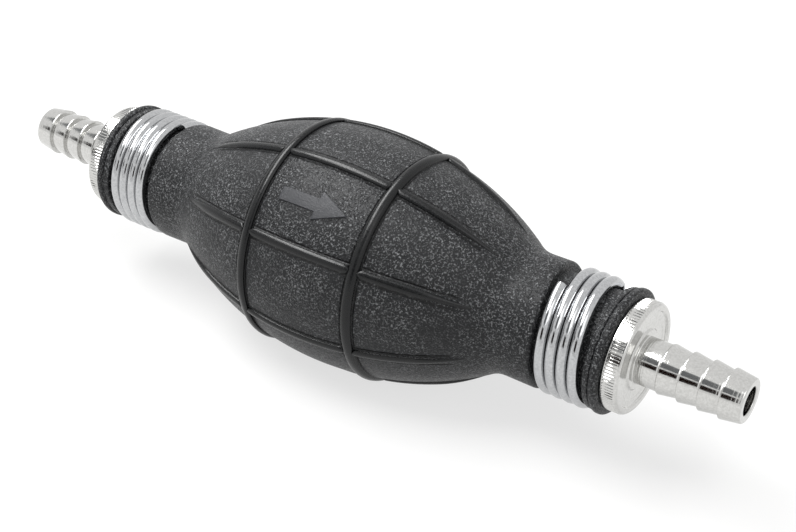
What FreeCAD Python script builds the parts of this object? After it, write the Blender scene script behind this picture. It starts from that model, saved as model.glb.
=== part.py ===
import FreeCAD, Part
import math
import os

# Siphon bulb pump for 10 mm fuel hose: a ribbed rubber bulb with a turned hose tail
# bound into each neck, and a spring-loaded check valve inside each tail.
# The liquid flows along +X, from the inlet tail to the outlet tail. +Z is up.
# The origin is the centre of the bulb. All sizes are in millimetres.
# A station is a distance from the middle of the bulb along the flow axis.

# Rubber bulb and its necks
PANEL_RADIUS = 25.7
SWELL_HALF = 39.8
WALL = 3.2
NECK_RADIUS = 13.25
NECK_LENGTH = 9.8
LIP_ROUND = 0.9
SEAT_DEPTH = 1.8
SEAT_PLAY = 0.15
BEAD_RADIUS = 13.3
BEAD_WIDTH = 3.2
BEAD_ROOT = 12.2
BEAD_FULLNESS = 0.7

# Raised ribs on the bulb
RIB_COUNT = 8
RIB_WIDTH = 2.3
RIB_HEIGHT = 0.75
RIB_ROUND = 0.4
RIB_FADE = 3.6
RIB_END_GAP = 0.3
RIB_SINK = 1.0
FIRST_RIB_ANGLE = 22.5
RING_STATION = 13.43
RING_WIDTH = 2.2
RING_HEIGHT = 0.9
RING_ROUND = 0.5

# Wire clamps
CLAMP_WIRE = 2.0
CLAMP_TURNS = 3.8
CLAMP_TURN_GAP = 0.42
CLAMP_CLEARANCE = 0.1
INLET_CLAMP_ANGLE = 253.0
OUTLET_CLAMP_ANGLE = 27.0

# Turned hose tails: spigot in the rubber, flange, stem and barbs
SPIGOT_RADIUS = 9.2
SPIGOT_LENGTH = 20.0
SPIGOT_CHAMFER = 0.6
GRIP_GROOVES = 3
GRIP_GROOVE_WIDTH = 1.4
GRIP_GROOVE_PITCH = 3.0
GRIP_GROOVE_DEPTH = 0.5
FLANGE_RADIUS = 11.7
FLANGE_THICKNESS = 3.8
FLANGE_CHAMFER = 0.35
RIM_LAND = 1.1
FACE_RECESS = 0.35
FACE_BOSS = 1.3
STEM_RADIUS = 4.97
STEM_LENGTH = 4.9
BARB_COUNT = 4
BARB_PITCH = 4.37
BARB_CREST = 5.35
BARB_ROOT = 4.73
BARB_ROUND = 0.35
TIP_CHAMFER = 0.22
BORE_RADIUS = 3.0
BORE_CHAMFER = 0.2

# Valve chambers in the spigots
CHAMBER_RADIUS = 6.2
CHAMBER_END_WALL = 3.3
SEAT_HOLE_RADIUS = 3.2
SEAT_HOLE_LENGTH = 4.0
LEDGE_WIDTH = 0.9
FUNNEL_LENGTH = 3.0
DISC_LEDGE = 0.5

# Poppets, seals and springs
LIFT = 2.5
STOP_RADIUS = 1.85
HEAD_RADIUS = 4.9
HEAD_THICKNESS = 1.6
GUIDE_RADIUS = 1.5
GUIDE_TAIL = 0.9
SEAL_RADIUS = 4.7
SEAL_THICKNESS = 1.0
SEAL_PLAY = 0.05
NOSE_RADIUS = 2.2
NOSE_THICKNESS = 1.0
NOSE_PIN_RADIUS = 1.4
SPRING_ROOM = 7.0
SPRING_WIRE = 0.5
SPRING_TURNS = 4.5
SPRING_PLAY = 0.6

# Spring guides, seat disc, its ring and the snap rings
GUIDE_PLAY = 0.08
SLIP_PLAY = 0.05
HUB_RADIUS = 3.2
HUB_THICKNESS = 1.5
RIM_THICKNESS = 2.5
RIM_WIDTH = 0.9
LEG_COUNT = 3
LEG_WIDTH = 1.6
DISC_THICKNESS = 2.0
DISC_GROOVE_WIDTH = 1.2
DISC_GROOVE_DEPTH = 0.8
DISC_RING_SECTION = 0.8
SNAP_THICKNESS = 1.0
SNAP_GROOVE_DEPTH = 0.5
SNAP_WIDTH = 1.2
SNAP_GAP = 3.4
SNAP_LUG_RADIUS = 1.1
SNAP_LUG_HOLE = 0.5

ORIGIN = FreeCAD.Vector(0, 0, 0)
FLOW = FreeCAD.Vector(1, 0, 0)

# Distance of a quarter arc's middle from the two lines it joins, as a share of its radius
BITE = 1 - math.sqrt(0.5)

# Points on which the gap between the turns of a wound wire is measured
GAP_POINTS = 400

# Stations along the necks, worked out from the bulb outwards
SEAT_RADIUS = NECK_RADIUS - SEAT_DEPTH
CLAMP_PITCH = CLAMP_WIRE + CLAMP_TURN_GAP
CLAMP_RADIUS = SEAT_RADIUS + CLAMP_CLEARANCE + CLAMP_WIRE / 2
CLAMP_SPAN = CLAMP_TURNS * CLAMP_PITCH
LIP_STATION = SWELL_HALF + NECK_LENGTH
CLAMP_START = LIP_STATION + SEAT_PLAY + CLAMP_WIRE / 2
SEAT_END = CLAMP_START + CLAMP_SPAN + CLAMP_WIRE / 2 + SEAT_PLAY
RUBBER_END = SEAT_END + BEAD_WIDTH

# Stations along the tails
SPIGOT_MOUTH = RUBBER_END - SPIGOT_LENGTH
CHAMBER_END = RUBBER_END - CHAMBER_END_WALL
FLANGE_END = RUBBER_END + FLANGE_THICKNESS
BARB_START = FLANGE_END + STEM_LENGTH
BARB_END = BARB_START + BARB_COUNT * BARB_PITCH
TIP = BARB_END + TIP_CHAMFER

# The valve stack, measured downstream from its seat plane
HEAD_BACK = SEAL_THICKNESS + HEAD_THICKNESS
SPRING_SEAT = HEAD_BACK + SPRING_ROOM
GUIDE_END = SPRING_SEAT + HUB_THICKNESS + GUIDE_TAIL
STACK_LENGTH = SPRING_SEAT + RIM_THICKNESS
INLET_SEAT = -CHAMBER_END
OUTLET_SEAT = CHAMBER_END - STACK_LENGTH
SPRING_RADIUS = GUIDE_RADIUS + SPRING_PLAY + SPRING_WIRE / 2
DISC_BORE_RADIUS = CHAMBER_RADIUS + DISC_LEDGE


def at(x, radius):
    """Point of a profile: x along the flow axis, radius from it."""
    return FreeCAD.Vector(x, 0, radius)


def around(x, radius, angle):
    """Point at an angle in degrees about the flow axis, from up towards the front."""
    turn = math.radians(angle)
    return FreeCAD.Vector(x, -radius * math.sin(turn), radius * math.cos(turn))


def path_edges(steps):
    """Edges through (x, r) steps. A step of four numbers is an arc: its middle, then its end."""
    edges = []
    here = at(*steps[0])
    for step in steps[1:]:
        there = at(*step[-2:])
        if len(step) == 4:
            edges.append(Part.Arc(here, at(*step[:2]), there).toShape())
        else:
            edges.append(Part.LineSegment(here, there).toShape())
        here = there
    return edges


def turned(edges):
    """Solid turned about the flow axis from the edges of a closed profile."""
    face = Part.Face(Part.Wire(Part.__sortEdges__(edges)))
    return face.revolve(ORIGIN, FLOW, 360)


def turned_path(steps):
    return turned(path_edges(steps + steps[:1]))


def tube(x_start, x_end, outer, inner):
    """Plain turned ring between two stations."""
    return turned_path([(x_start, inner), (x_start, outer), (x_end, outer), (x_end, inner)])


def arc_radius(top, end_x, end):
    """Radius of the arc through height top in the middle and height end at both ends."""
    drop = top - end
    return (end_x ** 2 + drop ** 2) / (2 * drop)


def half_biarc(start, corner, end):
    """Arc that leaves start and reaches end along the two legs that meet in corner."""
    middle = (start + end) * 0.5
    half_chord = (end - start).Length / 2
    leg = (corner - start).Length
    height = (corner - middle).Length
    crown = half_chord * (leg - half_chord) / height
    return Part.Arc(start, middle + (corner - middle) * (crown / height), end).toShape()


def biarc(start, start_way, end, end_way):
    """Two tangent arcs between two points with given unit directions."""
    chord = end - start
    both = start_way + end_way
    spread = 2 * (1 - start_way.dot(end_way))
    reach = chord.dot(both)
    leg = (math.sqrt(reach ** 2 + spread * chord.dot(chord)) - reach) / spread
    corner_a = start + start_way * leg
    corner_b = end - end_way * leg
    joint = (corner_a + corner_b) * 0.5
    return [half_biarc(start, corner_a, joint), half_biarc(joint, corner_b, end)]


def wound_wire(name, x_start, radius, pitch, turns, start_angle, wire):
    """One unbroken round wire wound right-handed along +X, with a straight end each side."""
    quarters = math.ceil(turns * 4)
    stations = []
    for i in range(quarters + 1):
        done = turns * i / quarters
        angle = start_angle + 360 * done
        across = around(0, radius, angle + 90) * (2 * math.pi)
        way = (FLOW * pitch + across).normalize()
        stations.append((around(x_start + pitch * done, radius, angle), way))
    first, first_way = stations[0]
    last, last_way = stations[-1]
    cut_end = first - first_way * wire
    edges = [Part.LineSegment(cut_end, first).toShape()]
    for (start, start_way), (end, end_way) in zip(stations, stations[1:]):
        edges += biarc(start, start_way, end, end_way)
    edges.append(Part.LineSegment(last, last + last_way * wire).toShape())
    spine = Part.Wire(edges)
    section = Part.Wire(Part.makeCircle(wire / 2, cut_end, first_way))
    print(name, "least gap between turns: %.2f mm" % wire_gap(spine, wire, math.pi * radius))
    return spine.makePipeShell([section], True, False)


def wire_gap(spine, wire, apart):
    """Least clear gap between stretches of a wound wire that lie further apart than half a turn."""
    points = spine.discretize(Number=GAP_POINTS)
    step = spine.Length / (len(points) - 1)
    skip = math.ceil(apart / step)
    least = spine.Length
    for i, point in enumerate(points):
        for other in points[i + skip:]:
            least = min(least, (other - point).Length)
    return least - wire


def panel_radius_at(x):
    """Outer radius of the swelling between its ribs."""
    sweep = arc_radius(PANEL_RADIUS, SWELL_HALF, NECK_RADIUS)
    return PANEL_RADIUS - sweep + math.sqrt(sweep ** 2 - x ** 2)


def neck_edges():
    """Outside of one neck, its end face and its bore, back to the end of the cavity."""
    crest = SEAT_END + BEAD_WIDTH / 2
    shoulder = BEAD_ROOT + (BEAD_RADIUS - BEAD_ROOT) * BEAD_FULLNESS
    lip_bite = LIP_ROUND * BITE
    return path_edges([
        (SWELL_HALF, NECK_RADIUS),
        (LIP_STATION - LIP_ROUND, NECK_RADIUS),
        (LIP_STATION - lip_bite, NECK_RADIUS - lip_bite, LIP_STATION, NECK_RADIUS - LIP_ROUND),
        (LIP_STATION, SEAT_RADIUS),
        (SEAT_END, SEAT_RADIUS),
        (SEAT_END, BEAD_ROOT),
        ((SEAT_END + crest) / 2, shoulder, crest, BEAD_RADIUS),
        ((RUBBER_END + crest) / 2, shoulder, RUBBER_END, BEAD_ROOT),
        (RUBBER_END, SPIGOT_RADIUS),
        (SWELL_HALF, SPIGOT_RADIUS),
    ])


def rib_section(crest):
    """Cross-section of a lengthwise rib at the middle of the bulb, with rounded shoulders."""
    half = RIB_WIDTH / 2
    low = crest - RIB_HEIGHT - RIB_SINK
    bite = RIB_ROUND * BITE
    corners = [(-half, low), (-half, crest - RIB_ROUND), (-half + RIB_ROUND, crest)]
    corners += [(half - RIB_ROUND, crest), (half, crest - RIB_ROUND), (half, low)]
    points = [FreeCAD.Vector(0, y, z) for y, z in corners]
    left_bite = FreeCAD.Vector(0, -half + bite, crest - bite)
    right_bite = FreeCAD.Vector(0, half - bite, crest - bite)
    edges = [
        Part.LineSegment(points[0], points[1]),
        Part.Arc(points[1], left_bite, points[2]),
        Part.LineSegment(points[2], points[3]),
        Part.Arc(points[3], right_bite, points[4]),
        Part.LineSegment(points[4], points[5]),
        Part.LineSegment(points[5], points[0]),
    ]
    return Part.Face(Part.Wire([edge.toShape() for edge in edges]))


def rib_stretches():
    """The top lengthwise rib: a middle stretch, and two that sink into the bulb near the necks."""
    crest = PANEL_RADIUS + RIB_HEIGHT
    fade = SWELL_HALF - RIB_FADE
    sweep = arc_radius(crest, fade, panel_radius_at(fade))
    hub = FreeCAD.Vector(0, 0, crest - sweep)
    swing = FreeCAD.Vector(0, 1, 0)
    clear = RING_WIDTH / 2 + RIB_END_GAP
    stretches = []
    middle = (clear - RING_STATION, RING_STATION - clear)
    outer = (RING_STATION + clear, fade + RIB_SINK)
    for x_from, x_to in (middle, outer):
        first = math.degrees(math.asin(x_from / sweep))
        last = math.degrees(math.asin(x_to / sweep))
        section = rib_section(crest)
        section.rotate(hub, swing, first)
        stretches.append(section.revolve(hub, swing, last - first))
    return stretches + [stretches[1].mirror(ORIGIN, FLOW)]


def bulb():
    """Moulded rubber bulb: swelling, two necks, ring ribs and lengthwise ribs."""
    neck = neck_edges()
    swell = Part.Arc(at(-SWELL_HALF, NECK_RADIUS), at(0, PANEL_RADIUS), at(SWELL_HALF, NECK_RADIUS))
    cavity = Part.Arc(at(-SWELL_HALF, SPIGOT_RADIUS), at(0, PANEL_RADIUS - WALL), at(SWELL_HALF, SPIGOT_RADIUS))
    rubber = turned([swell.toShape(), cavity.toShape()] + neck + [edge.mirror(ORIGIN, FLOW) for edge in neck])
    ribs = [ring_rib(-RING_STATION), ring_rib(RING_STATION)]
    for i in range(RIB_COUNT):
        for stretch in rib_stretches():
            stretch.rotate(ORIGIN, FLOW, FIRST_RIB_ANGLE + i * 360.0 / RIB_COUNT)
            ribs.append(stretch)
    return rubber.multiFuse(ribs)


def ring_rib(station):
    low = panel_radius_at(station) - RIB_SINK
    high = panel_radius_at(station) + RING_HEIGHT
    near = station - RING_WIDTH / 2
    far = station + RING_WIDTH / 2
    return turned_path([
        (near, low),
        (near, high - RING_ROUND),
        (near + RING_ROUND * BITE, high - RING_ROUND * BITE, near + RING_ROUND, high),
        (far - RING_ROUND, high),
        (far - RING_ROUND * BITE, high - RING_ROUND * BITE, far, high - RING_ROUND),
        (far, low),
    ])


def tail_outside():
    """Steps along the outside of a tail, from the spigot's mouth to the tip."""
    steps = [(SPIGOT_MOUTH, SPIGOT_RADIUS - SPIGOT_CHAMFER), (SPIGOT_MOUTH + SPIGOT_CHAMFER, SPIGOT_RADIUS)]
    middle = CLAMP_START + CLAMP_SPAN / 2
    low = SPIGOT_RADIUS - GRIP_GROOVE_DEPTH
    for i in range(GRIP_GROOVES):
        start = middle + (i - (GRIP_GROOVES - 1) / 2) * GRIP_GROOVE_PITCH - GRIP_GROOVE_WIDTH / 2
        end = start + GRIP_GROOVE_WIDTH
        steps += [(start, SPIGOT_RADIUS), (start, low), (end, low), (end, SPIGOT_RADIUS)]
    land = FLANGE_RADIUS - FLANGE_CHAMFER - RIM_LAND
    boss = STEM_RADIUS + FACE_BOSS
    steps += [
        (RUBBER_END, SPIGOT_RADIUS),
        (RUBBER_END, FLANGE_RADIUS - FLANGE_CHAMFER),
        (RUBBER_END + FLANGE_CHAMFER, FLANGE_RADIUS),
        (FLANGE_END - FLANGE_CHAMFER, FLANGE_RADIUS),
        (FLANGE_END, FLANGE_RADIUS - FLANGE_CHAMFER),
        (FLANGE_END, land),
        (FLANGE_END - FACE_RECESS, land - FACE_RECESS),
        (FLANGE_END - FACE_RECESS, boss),
        (FLANGE_END, boss - FACE_RECESS),
        (FLANGE_END, STEM_RADIUS),
    ]
    radius = STEM_RADIUS
    for i in range(BARB_COUNT):
        x = BARB_START + i * BARB_PITCH
        steps.append((x, radius))
        steps.append((x, BARB_CREST - BARB_ROUND))
        steps.append((x + BARB_ROUND * BITE, BARB_CREST - BARB_ROUND * BITE, x + BARB_ROUND, BARB_CREST))
        radius = BARB_ROOT
    steps.append((BARB_END, BARB_ROOT))
    steps.append((TIP, BARB_ROOT - TIP_CHAMFER))
    return steps


def tail_bore():
    """Steps down the hose bore from the tip."""
    return [(TIP, BORE_RADIUS + BORE_CHAMFER), (TIP - BORE_CHAMFER, BORE_RADIUS)]


def snap_groove(station, bore_radius):
    """Steps of a snap ring groove, from its deep side to its mouth side."""
    low = station - SLIP_PLAY
    high = station + SNAP_THICKNESS + SLIP_PLAY
    floor = bore_radius + SNAP_GROOVE_DEPTH
    return [(high, bore_radius), (high, floor), (low, floor), (low, bore_radius)]


def inlet_tail():
    """Inlet tail: the chamber's flat end is the valve seat, and a snap ring groove holds the stack."""
    snap = CHAMBER_END - STACK_LENGTH - SNAP_THICKNESS
    steps = tail_outside() + tail_bore()
    steps += [
        (CHAMBER_END + SEAT_HOLE_LENGTH + SEAT_HOLE_RADIUS - BORE_RADIUS, BORE_RADIUS),
        (CHAMBER_END + SEAT_HOLE_LENGTH, SEAT_HOLE_RADIUS),
        (CHAMBER_END, SEAT_HOLE_RADIUS),
        (CHAMBER_END, CHAMBER_RADIUS),
    ]
    steps += snap_groove(snap, CHAMBER_RADIUS)
    steps.append((SPIGOT_MOUTH, CHAMBER_RADIUS))
    return turned_path(steps).mirror(ORIGIN, FLOW)


def outlet_tail():
    """Outlet tail: a ledge and funnel at the chamber's end, and a wider mouth for the seat disc."""
    snap = OUTLET_SEAT - DISC_THICKNESS - SNAP_THICKNESS
    steps = tail_outside() + tail_bore()
    steps += [
        (CHAMBER_END + FUNNEL_LENGTH, BORE_RADIUS),
        (CHAMBER_END, CHAMBER_RADIUS - LEDGE_WIDTH),
        (CHAMBER_END, CHAMBER_RADIUS),
        (OUTLET_SEAT, CHAMBER_RADIUS),
        (OUTLET_SEAT, DISC_BORE_RADIUS),
    ]
    steps += snap_groove(snap, DISC_BORE_RADIUS)
    steps.append((SPIGOT_MOUTH, DISC_BORE_RADIUS))
    return turned_path(steps)


def poppet(seat):
    """Disc with a nose for the seal, and a stem whose thick part stops the lift at the guide."""
    return turned_path([
        (seat - NOSE_THICKNESS, 0),
        (seat - NOSE_THICKNESS, NOSE_PIN_RADIUS),
        (seat, NOSE_RADIUS),
        (seat, NOSE_PIN_RADIUS),
        (seat + SEAL_THICKNESS, NOSE_PIN_RADIUS),
        (seat + SEAL_THICKNESS, HEAD_RADIUS),
        (seat + HEAD_BACK, HEAD_RADIUS),
        (seat + HEAD_BACK, STOP_RADIUS),
        (seat + SPRING_SEAT - LIFT, STOP_RADIUS),
        (seat + SPRING_SEAT - LIFT, GUIDE_RADIUS),
        (seat + GUIDE_END, GUIDE_RADIUS),
        (seat + GUIDE_END, 0),
    ])


def seal(seat):
    """Rubber washer that closes on the seat."""
    return tube(seat, seat + SEAL_THICKNESS, SEAL_RADIUS, NOSE_PIN_RADIUS + SEAL_PLAY)


def spring(name, seat):
    """Round spring between the poppet's head and the guide's hub."""
    run = SPRING_ROOM - SPRING_WIRE
    first = seat + HEAD_BACK + SPRING_WIRE / 2
    return wound_wire(name, first, SPRING_RADIUS, run / SPRING_TURNS, SPRING_TURNS, 0, SPRING_WIRE)


def spring_guide(seat):
    """Rim and hub joined by legs: the hub guides the stem and takes the spring."""
    face = seat + SPRING_SEAT
    rim_outer = CHAMBER_RADIUS - SLIP_PLAY
    rim = tube(face, face + RIM_THICKNESS, rim_outer, rim_outer - RIM_WIDTH)
    hub = tube(face, face + HUB_THICKNESS, HUB_RADIUS, GUIDE_RADIUS + GUIDE_PLAY)
    reach = (rim_outer - RIM_WIDTH / 2) - (HUB_RADIUS - GUIDE_RADIUS) / 2 - GUIDE_RADIUS
    legs = []
    for i in range(LEG_COUNT):
        corner = FreeCAD.Vector(face, -LEG_WIDTH / 2, (HUB_RADIUS + GUIDE_RADIUS) / 2)
        leg = Part.makeBox(HUB_THICKNESS, LEG_WIDTH, reach, corner)
        leg.rotate(ORIGIN, FLOW, i * 360.0 / LEG_COUNT)
        legs.append(leg)
    return rim.multiFuse([hub] + legs).removeSplitter()


def seat_disc():
    """Seat of the outlet valve: a holed disc with a ring groove in its rim."""
    outer = DISC_BORE_RADIUS - SLIP_PLAY
    start = OUTLET_SEAT - DISC_THICKNESS
    middle = OUTLET_SEAT - DISC_THICKNESS / 2
    low = outer - DISC_GROOVE_DEPTH
    return turned_path([
        (start, SEAT_HOLE_RADIUS),
        (start, outer),
        (middle - DISC_GROOVE_WIDTH / 2, outer),
        (middle - DISC_GROOVE_WIDTH / 2, low),
        (middle + DISC_GROOVE_WIDTH / 2, low),
        (middle + DISC_GROOVE_WIDTH / 2, outer),
        (OUTLET_SEAT, outer),
        (OUTLET_SEAT, SEAT_HOLE_RADIUS),
    ])


def disc_ring():
    """Rubber ring between the seat disc and its bore."""
    middle = FreeCAD.Vector(OUTLET_SEAT - DISC_THICKNESS / 2, 0, 0)
    centre_radius = DISC_BORE_RADIUS - DISC_RING_SECTION / 2
    return Part.makeTorus(centre_radius, DISC_RING_SECTION / 2, middle, FLOW)


def snap_ring(start, bore_radius):
    """Open spring-steel ring with two plier lugs, seated in its groove."""
    outer = bore_radius + SNAP_GROOVE_DEPTH - SLIP_PLAY
    inner = outer - SNAP_WIDTH
    end = start + SNAP_THICKNESS
    ring = tube(start, end, outer, inner)
    gap = Part.makeBox(SNAP_THICKNESS, SNAP_GAP, outer, FreeCAD.Vector(start, -SNAP_GAP / 2, 0))
    lugs = []
    holes = []
    lug_y = SNAP_GAP / 2 + SNAP_LUG_RADIUS
    lug_z = math.sqrt((bore_radius - SLIP_PLAY - SNAP_LUG_RADIUS) ** 2 - lug_y ** 2)
    for side in (-1, 1):
        centre = FreeCAD.Vector(start, side * lug_y, lug_z)
        lugs.append(Part.makeCylinder(SNAP_LUG_RADIUS, SNAP_THICKNESS, centre, FLOW))
        holes.append(Part.makeCylinder(SNAP_LUG_HOLE, SNAP_THICKNESS, centre, FLOW))
    return ring.cut(gap).multiFuse(lugs).cut(Part.makeCompound(holes))


def clamp(name, x_start, start_angle):
    return wound_wire(name, x_start, CLAMP_RADIUS, CLAMP_PITCH, CLAMP_TURNS, start_angle, CLAMP_WIRE)


def build():
    """All pieces by node name."""
    pieces = {
        "bulb": bulb(),
        "inlet_hose_tail": inlet_tail(),
        "outlet_hose_tail": outlet_tail(),
        "inlet_wire_clamp": clamp("inlet clamp", -CLAMP_START - CLAMP_SPAN, INLET_CLAMP_ANGLE),
        "outlet_wire_clamp": clamp("outlet clamp", CLAMP_START, OUTLET_CLAMP_ANGLE),
        "inlet_snap_ring": snap_ring(INLET_SEAT + STACK_LENGTH, CHAMBER_RADIUS),
        "outlet_snap_ring": snap_ring(OUTLET_SEAT - DISC_THICKNESS - SNAP_THICKNESS, DISC_BORE_RADIUS),
        "outlet_seat_disc": seat_disc(),
        "outlet_seat_o_ring": disc_ring(),
    }
    for end, seat in (("inlet", INLET_SEAT), ("outlet", OUTLET_SEAT)):
        pieces[end + "_poppet"] = poppet(seat)
        pieces[end + "_seal"] = seal(seat)
        pieces[end + "_spring"] = spring(end + " spring", seat)
        pieces[end + "_spring_guide"] = spring_guide(seat)
    return pieces


os.makedirs("parts", exist_ok=True)
for node, shape in build().items():
    print("%-20s volume %9.1f mm3, valid %s" % (node, shape.Volume, shape.isValid()))
    shape.exportStep("parts/%s.step" % node)
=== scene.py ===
# %% [markdown]
# # A siphon bulb pump, dressed over its working model
# The pump is a ribbed rubber bulb with a turned aluminium hose tail bound into each neck by
# a few turns of wire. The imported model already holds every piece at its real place, so this
# lesson only gives those pieces their finished surfaces: moulded rubber, turned metal, drawn wire.
# The flow runs along +X and the whole lesson works in millimetres until a mesh is made.

# %% Load the fixed frame
import math

import bmesh
import bpy
from mathutils import Matrix, Vector


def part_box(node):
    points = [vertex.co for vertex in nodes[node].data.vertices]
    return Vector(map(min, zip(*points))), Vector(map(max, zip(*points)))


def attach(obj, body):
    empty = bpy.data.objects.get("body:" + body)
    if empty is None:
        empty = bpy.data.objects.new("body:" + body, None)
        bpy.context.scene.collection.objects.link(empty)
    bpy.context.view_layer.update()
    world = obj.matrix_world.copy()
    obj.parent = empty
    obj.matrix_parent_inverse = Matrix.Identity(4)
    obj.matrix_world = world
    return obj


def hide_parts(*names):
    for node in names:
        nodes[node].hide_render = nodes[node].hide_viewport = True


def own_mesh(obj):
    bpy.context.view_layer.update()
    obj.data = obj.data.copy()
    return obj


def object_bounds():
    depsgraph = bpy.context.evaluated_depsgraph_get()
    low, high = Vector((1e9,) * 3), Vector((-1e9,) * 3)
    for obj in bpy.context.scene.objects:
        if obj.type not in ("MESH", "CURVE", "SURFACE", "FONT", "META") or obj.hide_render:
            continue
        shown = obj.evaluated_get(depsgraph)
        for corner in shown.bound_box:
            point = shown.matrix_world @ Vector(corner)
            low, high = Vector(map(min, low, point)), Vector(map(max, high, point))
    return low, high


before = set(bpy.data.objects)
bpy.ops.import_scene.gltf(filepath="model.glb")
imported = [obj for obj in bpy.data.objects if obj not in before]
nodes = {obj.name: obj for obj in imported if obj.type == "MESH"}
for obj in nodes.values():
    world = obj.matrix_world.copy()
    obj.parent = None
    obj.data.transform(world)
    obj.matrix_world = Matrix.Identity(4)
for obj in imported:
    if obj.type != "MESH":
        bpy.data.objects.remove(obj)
cad_box = [list(corner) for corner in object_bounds()]
MM = 0.001
node_size = {name: (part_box(name)[0] / MM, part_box(name)[1] / MM) for name in nodes}
print("nodes in the frame:", len(nodes))

# %% [markdown]
# ## The camera first
# A product photograph of a small object is taken with a long lens from a short distance. The
# lens is given by how many pixels wide a thing of one metre is at one metre. The direction is an
# azimuth and an elevation, and a slight roll because the pump didn't lie level in the picture.

# %% Set up the camera
IMAGE_WIDTH = 796
FOCAL_PIXELS = 1687.9
SENSOR_MM = 36.0
VIEW_AZIMUTH = 31.82
VIEW_ELEVATION = 30.01
VIEW_ROLL = 4.27
VIEW_DISTANCE_MM = 362.96
AIM_RIGHT_MM = 7.95
AIM_DOWN_MM = 3.76


def view_axes(azimuth, elevation, roll=0.0):
    """Right, up and back directions of something that looks at the pump from there."""
    turn = math.radians(azimuth)
    lift = math.radians(elevation)
    back = Vector((math.sin(turn) * math.cos(lift), -math.cos(turn) * math.cos(lift), math.sin(lift)))
    level = Vector((math.cos(turn), math.sin(turn), 0.0))
    up = back.cross(level)
    lean = math.radians(roll)
    right = level * math.cos(lean) + up * math.sin(lean)
    return right, back.cross(right), back


right, up, back = view_axes(VIEW_AZIMUTH, VIEW_ELEVATION, VIEW_ROLL)
eye = (back * VIEW_DISTANCE_MM + right * AIM_RIGHT_MM - up * AIM_DOWN_MM) * MM
camera_data = bpy.data.cameras.new("camera")
camera_data.sensor_width = SENSOR_MM
camera_data.lens = FOCAL_PIXELS / IMAGE_WIDTH * SENSOR_MM
camera = bpy.data.objects.new("camera", camera_data)
bpy.context.scene.collection.objects.link(camera)
camera.matrix_world = Matrix.Translation(eye) @ Matrix((right, up, back)).transposed().to_4x4()
bpy.context.scene.camera = camera
print("lens %.1f mm, eye at" % camera_data.lens, [round(v, 3) for v in eye])

# %% [markdown]
# ## Colours and nodes
# Colours are written the way a paint chart gives them, as sRGB hex, and one function turns them
# into the linear values that the renderer works in. Another adds a node with its settings, its
# fixed values and its links in one call. The few nodes that come back again and again get a
# function each, which keeps every material short enough to read.

# %% Small helpers


def colour(hex_code):
    """Linear RGBA of an sRGB hex colour."""
    parts = [int(hex_code[i:i + 2], 16) / 255 for i in (0, 2, 4)]
    return [p / 12.92 if p <= 0.04045 else ((p + 0.055) / 1.055) ** 2.4 for p in parts] + [1.0]


def add(tree, kind, inputs=(), **settings):
    """Adds a node: settings by name, then inputs by name or number, each a value or a socket."""
    node = tree.nodes.new(kind)
    for name, value in settings.items():
        setattr(node, name, value)
    for key, value in dict(inputs).items():
        if isinstance(value, bpy.types.NodeSocket):
            tree.links.new(value, node.inputs[key])
        else:
            node.inputs[key].default_value = value
    return node


def math_node(tree, operation, *values):
    """Result of one math node."""
    return add(tree, "ShaderNodeMath", dict(enumerate(values)), operation=operation).outputs[0]


def ramp(tree, value, start, end, low, high, kind="LINEAR"):
    """Carries start..end over to low..high and holds it beyond both."""
    return add(tree, "ShaderNodeMapRange", {
        "Value": value, "From Min": start, "From Max": end, "To Min": low, "To Max": high},
        interpolation_type=kind).outputs[0]


def noise(tree, place, size_mm, detail, roughness=0.5):
    """Noise with features of about size_mm."""
    return add(tree, "ShaderNodeTexNoise", {
        "Vector": place, "Scale": 1 / (size_mm * MM), "Detail": detail, "Roughness": roughness}).outputs[0]


def blend(tree, factor, first, second):
    """Colour between two, each an sRGB hex or a socket."""
    node = add(tree, "ShaderNodeMix", {"Factor": factor}, data_type="RGBA")
    for number, tone in ((6, first), (7, second)):
        if isinstance(tone, str):
            node.inputs[number].default_value = colour(tone)
        else:
            tree.links.new(tone, node.inputs[number])
    return node.outputs[2]


def object_place(tree):
    """Place in the pump's own frame, as one socket and as its X, Y and Z."""
    place = add(tree, "ShaderNodeTexCoord").outputs["Object"]
    return place, add(tree, "ShaderNodeSeparateXYZ", {0: place}).outputs


def axis_distance(tree, parts):
    """Distance from the flow axis."""
    flat = add(tree, "ShaderNodeCombineXYZ", {"X": 0.0, "Y": parts["Y"], "Z": parts["Z"]})
    return add(tree, "ShaderNodeVectorMath", {0: flat.outputs[0]}, operation="LENGTH").outputs["Value"]


def new_material(name):
    """Empty node material and its tree."""
    material = bpy.data.materials.new(name)
    material.use_nodes = True
    material.node_tree.nodes.clear()
    return material, material.node_tree


def show(tree, kind, inputs):
    """Shader of the given kind, shown as the surface."""
    shader = add(tree, kind, inputs)
    add(tree, "ShaderNodeOutputMaterial", {"Surface": shader.outputs[0]})


print("helpers ready; mid grey is", round(colour("808080")[0], 3))

# %% [markdown]
# ## A pale studio
# The photograph has a clean white ground. Here the floor is a real surface that keeps the pump's
# soft shadow, and the world behind it is white for the camera and for reflections. The light that
# falls on the pump is a large soft box above and behind it on the left, and a weaker one in front.
# Bright metal only looks like metal when it has something dark to mirror, so a few grey and dark
# boards stand round the tails. Only reflections see them.

# %% Floor, world, lights and boards
FLOOR_COLOUR = "f4f4f3"
WORLD_COLOUR = "ffffff"
WORLD_LIGHT = 0.35
FLOOR_SIZE = 6.0
SHADOW_SHARE = 0.3

scene = bpy.context.scene
scene.view_settings.view_transform = "Standard"


def seen_directly(tree):
    """1 for camera, glossy and transmission rays, 0 for the light that falls on things."""
    path = add(tree, "ShaderNodeLightPath").outputs
    first = math_node(tree, "MAXIMUM", path["Is Camera Ray"], path["Is Glossy Ray"])
    return math_node(tree, "MAXIMUM", first, path["Is Transmission Ray"])


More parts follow.
